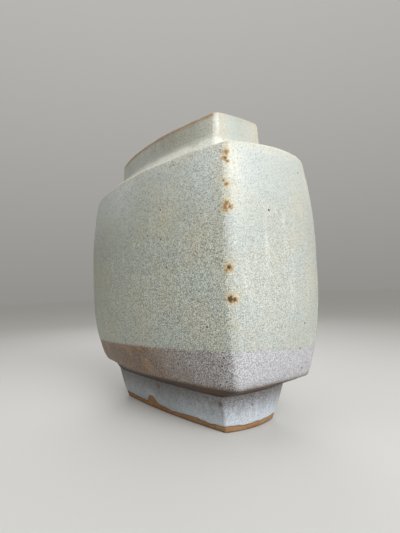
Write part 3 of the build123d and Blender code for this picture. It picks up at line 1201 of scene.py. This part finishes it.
def foot_marks(shape):
    """Places and radii of the dark marks on the foot."""
    marks = []
    for side, axis, place, height, radius in FOOT_MARKS:
        start, count = SIDES[side]
        row = level_row(foot_outline(shape, height), shape.foot_corner, height)
        face = row[start : start + count]
        nearest = face[np.abs(face[:, axis] - place).argmin()]
        marks.append((tuple(nearest), radius))
    return marks


def foot_coat(glaze, shape, colours, grains, patches, bare):
    """Streaked blue-grey glaze, pale where it ends, with painted shade at the top and towards the left, and
    a few dark marks.
    """
    stretched = glaze.stretched(FOOT_STREAK_STRETCH)
    streaks = glaze.grain(FOOT_STREAK_SIZE, seed=33.0, detail=3.0, place=stretched)
    colour = glaze.veiled(colours.foot, colours.foot_pale, streaks, *FOOT_STREAKS)
    colour = glaze.veiled(colour, colours.grey, patches, *FOOT_PATCHES)
    ragged = glaze.times(streaks, HIGH_EDGE)
    thick = glaze.eased(glaze.plus(bare, ragged), *THICK_DEPTHS, least=THICK_SHARE, most=0.0)
    colour = glaze.mixed(thick, colour, colours.foot_pale)
    # Painted shade at the top of the foot, under the body's overhang
    high = glaze.eased(glaze.plus(glaze.axis("Z"), ragged), *TOP_SHADE_LEVELS, most=TOP_SHADE_SHARE)
    colour = glaze.mixed(high, colour, colours.foot_shade_and_pepper)
    swing = glaze.eased(grains, *GRAIN_SWING, -0.5, 0.5)
    swing = glaze.times(swing, glaze.eased(high, 0.0, TOP_SHADE_SHARE, *FOOT_CONTRASTS))
    colour = glaze.toned(colour, glaze.plus(swing, 1.0))
    pepper = glaze.grain(PEPPER_SIZE, seed=34.0, detail=1.0)
    pepper = glaze.shown(pepper, *FOOT_PEPPER)
    pepper = glaze.times(pepper, glaze.eased(high, 0.0, TOP_SHADE_SHARE, *FOOT_PEPPER_STRENGTHS))
    colour = glaze.mixed(pepper, colour, colours.foot_shade_and_pepper)
    # Painted shade on the left of the foot, lifting to painted light on the right
    tone = glaze.eased(glaze.axis("X"), *FOOT_SHADE_PLACES, *FOOT_SHADE_TONES)
    colour = glaze.toned(colour, tone)
    marks = glaze.plus(glaze.nearness(foot_marks(shape)), glaze.minus(grains, 0.5))
    return glaze.veiled(colour, colours.ridge, marks, *FOOT_MARK_TURN)


def foot_clay(glaze, shape, colours, grains, patches, bare):
    """Bare clay, toasted where it meets the glaze, with painted shade at the resting edge."""
    blots = glaze.grain(BLOT_SIZE, seed=35.0, detail=2.0)
    warm = glaze.plus(patches, blots)
    warm = glaze.plus(warm, glaze.shown(glaze.axis("X"), *CLAY_TONE_PLACES, CLAY_TONE_STRENGTH))
    clay = glaze.veiled(colours.clay, colours.toasted, warm, *CLAY_WARMTH)
    clay = glaze.veiled(clay, colours.toasted, bare, -TOAST_WIDTH, 0.0, TOAST_STRENGTH)
    clay = glaze.toned(clay, glaze.eased(grains, *GRAIN_SWING, *CLAY_TONES))
    # Painted shade on the clay at the resting edge
    low = glaze.eased(glaze.axis("Z"), 0.0, 2 * shape.foot_edge, least=CLAY_EDGE_SHADE)
    clay = glaze.toned(clay, low)
    return glaze.veiled(clay, colours.ridge, bare, -2 * BARE_EDGE, -BARE_EDGE, BARE_LINE_STRENGTH)


def foot_finish(shape, colours):
    """Mottled blue-grey glaze that ends above bare, toasted clay."""
    name = "blue_grey_foot_glaze"
    if name in bpy.data.materials:
        return bpy.data.materials[name]
    glaze = Finish(name)
    grains = glaze.grain(GRAIN_SIZE, seed=31.0, detail=0.0)
    patches = glaze.grain(PATCH_SIZE, seed=32.0, detail=3.0)
    bare = glaze.measure("bare")
    coat = foot_coat(glaze, shape, colours, grains, patches, bare)
    clay = foot_clay(glaze, shape, colours, grains, patches, bare)
    colour = glaze.veiled(clay, coat, bare, -BARE_EDGE, BARE_EDGE)
    normal = glaze.bumped(grains, distance=GRAIN_DEPTH, strength=LOW_GRAIN_STRENGTH)
    roughness = glaze.eased(bare, -BARE_EDGE, BARE_EDGE, *FOOT_ROUGHNESS)
    return glaze.done(colour, roughness, normal)


# Faces of each group of pieces


def quarter(count):
    """Angles of a quarter turn."""
    return np.linspace(0.0, math.pi / 2, count + 1)


def body_run(shape, rows, edge=None):
    """Rows of the body's clay with its unevenness, its dip line and its pale edges."""
    drawn = np.array(rows)
    dip = above_dip(shape, drawn)
    glaze_step = shape.dip_step * smooth_step(dip, -DIP_EDGE, DIP_EDGE)
    uneven = shaped(shape, drawn, glaze_step)
    nearness = CORNER_BREAK * corner_nearness(drawn, BREAK_WIDTH)
    if edge is not None:
        nearness = np.maximum(nearness, edge[:, None])
    normals = run_normals(drawn)
    steep = np.hypot(normals[..., 0], normals[..., 1])
    below_edge = (drawn[..., 2] - NECK_LEVEL) / TOP_THIN_WIDTH
    thin = np.maximum(corner_nearness(drawn, THIN_WIDTH), np.exp(-(below_edge**2))) * steep
    calm = smooth_step(np.abs(normals[..., 0]), *CALM_FACING)
    return Run(uneven, dip=dip, edge=nearness, thin=thin, calm=calm)


def wall_runs(shape):
    """Outer and inner faces of the walls."""
    outer = []
    for angle in quarter(ROUNDING_ROWS)[:-1]:
        height = WALL_LEVEL + shape.wall_edge * (1.0 - math.cos(angle))
        inset = shape.wall_edge * (1.0 - math.sin(angle))
        outline = grown(body_outline(shape, height), -inset)
        outer.append(level_row(outline, body_corner(shape, height), height))
    for height in np.linspace(WALL_LEVEL + shape.wall_edge, SHOULDER_LEVEL, WALL_ROWS):
        outer.append(level_row(body_outline(shape, height), body_corner(shape, height), height))
    inner = []
    for height in np.linspace(SHOULDER_LEVEL, WALL_LEVEL, INNER_ROWS):
        outline = grown(body_outline(shape, height), -SLAB_THICKNESS)
        inner.append(level_row(outline, shape.corner_inside, height))
    return [body_run(shape, outer), body_run(shape, inner)]


def shoulder_runs(shape):
    """Edge, top, mouth and underside of the shoulder."""
    radius = shape.shoulder_edge
    outer, edge = [], []
    for height in np.linspace(SHOULDER_LEVEL, NECK_LEVEL - radius, ROUNDING_ROWS):
        outer.append(level_row(body_outline(shape, height), body_corner(shape, height), height))
        edge.append(0.0)
    for angle in quarter(ROUNDING_ROWS)[1:]:
        height = NECK_LEVEL - radius * (1.0 - math.sin(angle))
        outline = grown(body_outline(shape, height), -radius * (1.0 - math.cos(angle)))
        outer.append(level_row(outline, body_corner(shape, height), height))
        edge.append(math.sin(2.0 * angle))
    rounded = outer[-1]
    cove = level_row(grown(NECK_BASE, shape.cove_width), shape.neck_corner, NECK_LEVEL)
    for share in np.linspace(0.0, 1.0, FLAT_ROWS + 1)[1:]:
        outer.append(rounded + (cove - rounded) * share)
        edge.append(0.0)
    mouth_outline = grown(NECK_BASE, -SLAB_THICKNESS)
    mouth = [
        level_row(mouth_outline, shape.neck_corner, height)
        for height in np.linspace(NECK_LEVEL, SHOULDER_LEVEL, FLAT_ROWS)
    ]
    under = [mouth[-1] + (outer[0] - mouth[-1]) * share for share in np.linspace(0.0, 1.0, FLAT_ROWS)]
    top = body_run(shape, outer, np.array(edge))
    points_of_corners = corner_nearness(np.array(outer), POINT_WIDTH)
    top.measures["rim"] = (SHOULDER_WEAR + POINT_WEAR * points_of_corners) * np.array(edge)[:, None]
    return [top, body_run(shape, mouth), body_run(shape, under[:-1])]


def coil_runs(shape):
    """Smoothed cove and hidden back of the coil at the foot of the neck."""
    cove = []
    for angle in quarter(2 * ROUNDING_ROWS):
        height = NECK_LEVEL + shape.cove_height * (1.0 - math.cos(angle) ** COVE_POWER)
        reach = shape.cove_width * (1.0 - math.sin(angle) ** COVE_POWER)
        cove.append(level_row(grown(neck_outline(height), reach), shape.neck_corner, height))
    back = [
        level_row(grown(neck_outline(height), -COIL_BACK_INSET), shape.neck_corner, height)
        for height in (NECK_LEVEL + shape.cove_height, NECK_LEVEL)
    ]
    heights = np.array([row[0, 2] for row in cove])
    # The cove's cream is pale glaze and a painted highlight of light from above
    front = body_run(shape, cove, COVE_PALE_AND_HIGHLIGHT * smooth_step(heights, *COVE_LEVELS))
    # Share of painted shade on the coil's upper part
    front.measures["neck_shade"] = neck_shade_share(front.rows)
    return [front, body_run(shape, back)]


def neck_runs(shape):
    """Outer face, rim and inner face of the neck."""
    radius = shape.rim_edge
    straight_top = RIM_LEVEL - radius
    top_outline = neck_outline(straight_top)
    rows = []
    for height in np.linspace(NECK_LEVEL, straight_top, NECK_ROWS):
        rows.append(level_row(neck_outline(height), shape.neck_corner, height))
    for angle in quarter(ROUNDING_ROWS)[1:]:
        outline = grown(top_outline, -radius * (1.0 - math.cos(angle)))
        rows.append(level_row(outline, shape.neck_corner, straight_top + radius * math.sin(angle)))
    for angle in quarter(ROUNDING_ROWS)[::-1]:
        inset = SLAB_THICKNESS - radius * (1.0 - math.cos(angle))
        outline = grown(top_outline, -inset)
        rows.append(level_row(outline, shape.neck_corner, straight_top + radius * math.sin(angle)))
    for height in np.linspace(straight_top, NECK_LEVEL, NECK_ROWS)[1:]:
        outline = grown(neck_outline(height), -SLAB_THICKNESS)
        rows.append(level_row(outline, shape.neck_corner, height))
    run = body_run(shape, rows)
    run.measures["rim"] = smooth_step(RIM_LEVEL - np.array(rows)[..., 2], *RIM_WEAR)
    run.measures["edge"] = NECK_BREAK * corner_nearness(np.array(rows), NECK_BREAK_WIDTH)
    # Share of painted shade on the neck's broad sides
    run.measures["neck_shade"] = neck_shade_share(run.rows)
    return [run]


def floor_runs(shape):
    """Underside, sloping edge, ridge, groove and top of the floor."""
    corner = shape.corner_bottom
    ridge_outline = grown(BODY_BOTTOM, -shape.ridge_inset)
    groove_outline = grown(ridge_outline, -shape.groove_depth)
    ridge_top = WALL_LEVEL - shape.groove_height
    ridge_foot = ridge_top - shape.ridge_height
    under = level_row(FOOT_TOP, shape.foot_corner, FLOOR_LEVEL)
    shares = np.linspace(CENTRE_SHARE, 1.0, 2 * FLAT_ROWS)
    rows = [under * (share, share, 1.0) for share in shares]
    slope_top = level_row(groove_outline, corner, ridge_foot)
    rows += [under + (slope_top - under) * share for share in np.linspace(0.0, 1.0, FLAT_ROWS)[1:]]
    for angle in np.linspace(-math.pi / 2, math.pi / 2, 2 * ROUNDING_ROWS)[1:]:
        height = ridge_foot + shape.ridge_height * (1.0 + math.sin(angle)) / 2
        inset = shape.groove_depth * (1.0 - math.cos(angle))
        rows.append(level_row(grown(ridge_outline, -inset), corner, height))
    rows.append(level_row(groove_outline, corner, WALL_LEVEL))
    top = level_row(grown(BODY_BOTTOM, -SLAB_THICKNESS), shape.corner_inside, WALL_LEVEL)
    rows += [top * (share, share, 1.0) for share in shares[::-1]]
    drawn = np.array(rows)
    bare = np.ones(drawn.shape[:2])
    bare[: len(shares)] = -1.0
    return [Run(shaped(shape, drawn), bare=bare)]


def foot_runs(shape):
    """Inner face, resting edge and glazed outer face of the foot."""
    radius = shape.foot_edge
    base_outline = foot_outline(shape, radius)
    rows = []
    for height in np.linspace(FLOOR_LEVEL, radius, FLAT_ROWS):
        outline = grown(foot_outline(shape, height), -SLAB_THICKNESS)
        rows.append(level_row(outline, shape.foot_corner, height))
    for angle in quarter(ROUNDING_ROWS)[1:]:
        inset = SLAB_THICKNESS - radius * (1.0 - math.cos(angle))
        outline = grown(base_outline, -inset)
        rows.append(level_row(outline, shape.foot_corner, radius * (1.0 - math.sin(angle))))
    for angle in quarter(ROUNDING_ROWS)[::-1]:
        outline = grown(base_outline, -radius * (1.0 - math.cos(angle)))
        rows.append(level_row(outline, shape.foot_corner, radius * (1.0 - math.sin(angle))))
    outer_start = len(rows)
    for height in np.linspace(radius, FLOOR_LEVEL, FOOT_ROWS)[1:]:
        rows.append(level_row(foot_outline(shape, height), shape.foot_corner, height))
    drawn = np.array(rows)
    bare = above_bare_clay(shape, drawn)
    bare[:outer_start] = -shape.bare_height
    glaze_step = shape.glaze_step * smooth_step(bare, -GLAZE_EDGE / 2, GLAZE_EDGE)
    uneven = shaped(shape, drawn, glaze_step)
    return [Run(uneven, bare=bare)]


# Operators


class PILLOWVASE_OT_walls(bpy.types.Operator):
    """Builds the two broad walls and the two end walls."""

    bl_idname = "pillow_vase.walls"
    bl_label = "Walls"

    def execute(self, context):
        shape = context.scene.vase_shape
        finish = body_finish(shape, context.scene.vase_glaze)
        runs = wall_runs(shape)
        for side, node in WALL_NODES.items():
            add_piece(f"glazed_{node}", node, finish, runs, side)
        return {"FINISHED"}


class PILLOWVASE_OT_shoulder(bpy.types.Operator):
    """Builds the shoulder slab."""

    bl_idname = "pillow_vase.shoulder"
    bl_label = "Shoulder"

    def execute(self, context):
        shape = context.scene.vase_shape
        finish = body_finish(shape, context.scene.vase_glaze)
        add_piece("glazed_shoulder", "shoulder_slab", finish, shoulder_runs(shape))
        return {"FINISHED"}


class PILLOWVASE_OT_neck(bpy.types.Operator):
    """Builds the four strips of the neck."""

    bl_idname = "pillow_vase.neck"
    bl_label = "Neck"

    def execute(self, context):
        shape = context.scene.vase_shape
        finish = body_finish(shape, context.scene.vase_glaze)
        runs = neck_runs(shape)
        for side in SIDES:
            add_piece(f"glazed_neck_{side}", f"neck_{side}", finish, runs, side)
        return {"FINISHED"}


class PILLOWVASE_OT_seam_coil(bpy.types.Operator):
    """Builds the smoothed coil at the foot of the neck."""

    bl_idname = "pillow_vase.seam_coil"
    bl_label = "Seam coil"

    def execute(self, context):
        shape = context.scene.vase_shape
        finish = body_finish(shape, context.scene.vase_glaze)
        add_piece("glazed_seam_coil", "neck_seam_coil", finish, coil_runs(shape))
        return {"FINISHED"}


class PILLOWVASE_OT_floor(bpy.types.Operator):
    """Builds the floor slab with its ridge under the walls."""

    bl_idname = "pillow_vase.floor"
    bl_label = "Floor"

    def execute(self, context):
        shape = context.scene.vase_shape
        finish = ridge_finish(shape, context.scene.vase_glaze)
        runs = floor_runs(shape)
        add_piece("glazed_floor", "floor_slab", finish, runs, filled=True)
        return {"FINISHED"}


class PILLOWVASE_OT_foot(bpy.types.Operator):
    """Builds the four strips of the foot."""

    bl_idname = "pillow_vase.foot"
    bl_label = "Foot"

    def execute(self, context):
        shape = context.scene.vase_shape
        finish = foot_finish(shape, context.scene.vase_glaze)
        runs = foot_runs(shape)
        for side in SIDES:
            add_piece(f"glazed_foot_{side}", f"foot_{side}", finish, runs, side)
        return {"FINISHED"}


# Floor of the stage: its corners and reach, its faint cloud and that cloud's tone, relief and strength
FLOOR_CORNERS = ((-1, -1), (1, -1), (1, 1), (-1, 1))
FLOOR_REACH = 6.0
FLOOR_CLOUD_SIZE = 0.25
FLOOR_CLOUD_TONE = 0.97
FLOOR_RELIEF = 0.0001
FLOOR_RELIEF_STRENGTH = 0.1
FLOOR_ROUGHNESS = 0.7

# Lights and camera of the stage
KEY_PLACE = (0.66, -0.12, 0.38)
KEY_SIZE = 0.55
TOP_PLACE = (0.05, -0.20, 0.95)
TOP_SIZE = 0.90
FILL_PLACE = (-0.62, 0.42, 0.50)
FILL_SIZE = 0.60
LIGHT_TARGET = (0.03, 0.0, 0.06)
SENSOR_WIDTH = 36.0
CLIP_NEAR = 0.01
CLIP_FAR = 50.0


def camera_matrix(studio):
    """Place and turn of the camera."""
    bearing = studio.camera_bearing
    place = Vector(
        (
            studio.camera_distance * math.cos(bearing),
            -studio.camera_distance * math.sin(bearing),
            studio.camera_height,
        )
    )
    ahead = Vector((-math.cos(bearing), math.sin(bearing), 0.0))
    up = Vector((0.0, 0.0, 1.0))
    right = ahead.cross(up)
    yaw, pitch, roll = studio.camera_yaw, studio.camera_pitch, studio.camera_roll
    ahead, right = (
        ahead * math.cos(yaw) + right * math.sin(yaw),
        right * math.cos(yaw) - ahead * math.sin(yaw),
    )
    ahead, up = (
        ahead * math.cos(pitch) + up * math.sin(pitch),
        up * math.cos(pitch) - ahead * math.sin(pitch),
    )
    right, up = (
        right * math.cos(roll) + up * math.sin(roll),
        up * math.cos(roll) - right * math.sin(roll),
    )
    turn = Matrix((right, up, -ahead)).transposed()
    return Matrix.Translation(place) @ turn.to_4x4()


def floor_finish(studio):
    """Plain pale floor with a faint cloud."""
    paint = Finish("pale_floor")
    clouds = paint.grain(FLOOR_CLOUD_SIZE, seed=41.0)
    darker = tuple(FLOOR_CLOUD_TONE * value for value in studio.floor_colour)
    colour = paint.mixed(clouds, studio.floor_colour, darker)
    normal = paint.bumped(clouds, distance=FLOOR_RELIEF, strength=FLOOR_RELIEF_STRENGTH)
    return paint.done(colour, FLOOR_ROUGHNESS, normal)


def add_floor(scene, studio):
    """Adds the plain floor that the vase stands on."""
    corners = [(x * FLOOR_REACH, y * FLOOR_REACH, 0.0) for x, y in FLOOR_CORNERS]
    mesh = bpy.data.meshes.new("stage_floor")
    mesh.from_pydata(corners, [], [tuple(range(len(corners)))])
    mesh.materials.append(floor_finish(studio))
    floor = bpy.data.objects.new("stage_floor", mesh)
    scene.collection.objects.link(floor)


def add_light(scene, studio, name, place, size, power, beam):
    """Adds a square light that faces the vase."""
    light = bpy.data.lights.new(name, "AREA")
    light.energy = power
    light.color = studio.key_colour
    light.size = size
    light.spread = beam
    lamp = bpy.data.objects.new(name, light)
    lamp.location = place
    aim = Vector(LIGHT_TARGET) - Vector(place)
    lamp.rotation_euler = aim.to_track_quat("-Z", "Y").to_euler()
    scene.collection.objects.link(lamp)


def add_room(scene, studio):
    """Sets a soft room light that grows brighter overhead."""
    world = bpy.data.worlds.new("soft_room")
    world.use_nodes = True
    nodes, links = world.node_tree.nodes, world.node_tree.links
    background = nodes["Background"]
    background.inputs["Color"].default_value = (*studio.sky_colour, 1.0)
    place = nodes.new("ShaderNodeTexCoord")
    split = nodes.new("ShaderNodeSeparateXYZ")
    rise = nodes.new("ShaderNodeMapRange")
    rise.inputs["To Min"].default_value = studio.sky_low
    rise.inputs["To Max"].default_value = studio.sky_high
    links.new(place.outputs["Generated"], split.inputs["Vector"])
    links.new(split.outputs["Z"], rise.inputs["Value"])
    links.new(rise.outputs["Result"], background.inputs["Strength"])
    scene.world = world
    scene.view_settings.view_transform = "Standard"


def add_camera(scene, studio):
    """Sets the camera."""
    lens = bpy.data.cameras.new("camera")
    lens.sensor_width = SENSOR_WIDTH
    lens.lens = studio.lens
    lens.clip_start = CLIP_NEAR
    lens.clip_end = CLIP_FAR
    camera = bpy.data.objects.new("camera", lens)
    camera.matrix_world = camera_matrix(studio)
    scene.collection.objects.link(camera)
    scene.camera = camera


class PILLOWVASE_OT_stage(bpy.types.Operator):
    """Sets the pale floor, the soft light and the camera."""

    bl_idname = "pillow_vase.stage"
    bl_label = "Stage"

    def execute(self, context):
        scene = context.scene
        studio = scene.vase_studio
        add_floor(scene, studio)
        add_light(scene, studio, "key_light", KEY_PLACE, KEY_SIZE, studio.key_power, studio.beam)
        add_light(scene, studio, "top_light", TOP_PLACE, TOP_SIZE, studio.top_power, math.pi)
        add_light(scene, studio, "fill_light", FILL_PLACE, FILL_SIZE, studio.fill_power, studio.beam)
        add_room(scene, studio)
        add_camera(scene, studio)
        return {"FINISHED"}


class PILLOWVASE_PT_panel(bpy.types.Panel):
    """Lists the pieces of the vase and the stage."""

    bl_idname = "PILLOWVASE_PT_panel"
    bl_label = "Pillow vase"
    bl_space_type = "VIEW_3D"
    bl_region_type = "UI"
    bl_category = "Pillow vase"

    def draw(self, context):
        for operator in OPERATORS:
            self.layout.operator(operator.bl_idname)
        for group in (context.scene.vase_shape, context.scene.vase_glaze, context.scene.vase_studio):
            box = self.layout.box()
            for name in group.bl_rna.properties.keys():
                if name not in ("rna_type", "name"):
                    box.prop(group, name)


OPERATORS = (
    PILLOWVASE_OT_walls,
    PILLOWVASE_OT_shoulder,
    PILLOWVASE_OT_neck,
    PILLOWVASE_OT_seam_coil,
    PILLOWVASE_OT_floor,
    PILLOWVASE_OT_foot,
    PILLOWVASE_OT_stage,
)
GROUPS = {"vase_shape": VaseShape, "vase_glaze": VaseGlaze, "vase_studio": VaseStudio}
CLASSES = (*GROUPS.values(), *OPERATORS, PILLOWVASE_PT_panel)


def register():
    """Registers the classes and hangs the settings on the scene."""
    for made in CLASSES:
        bpy.utils.register_class(made)
    for name, group in GROUPS.items():
        setattr(bpy.types.Scene, name, PointerProperty(type=group))


def unregister():
    """Takes the settings and the classes away again."""
    for name in GROUPS:
        delattr(bpy.types.Scene, name)
    for made in reversed(CLASSES):
        bpy.utils.unregister_class(made)


def main():
    """Builds the vase and its stage."""
    register()
    bpy.ops.pillow_vase.walls()
    bpy.ops.pillow_vase.shoulder()
    bpy.ops.pillow_vase.neck()
    bpy.ops.pillow_vase.seam_coil()
    bpy.ops.pillow_vase.floor()
    bpy.ops.pillow_vase.foot()
    bpy.ops.pillow_vase.stage()


if __name__ == "__main__":
    main()
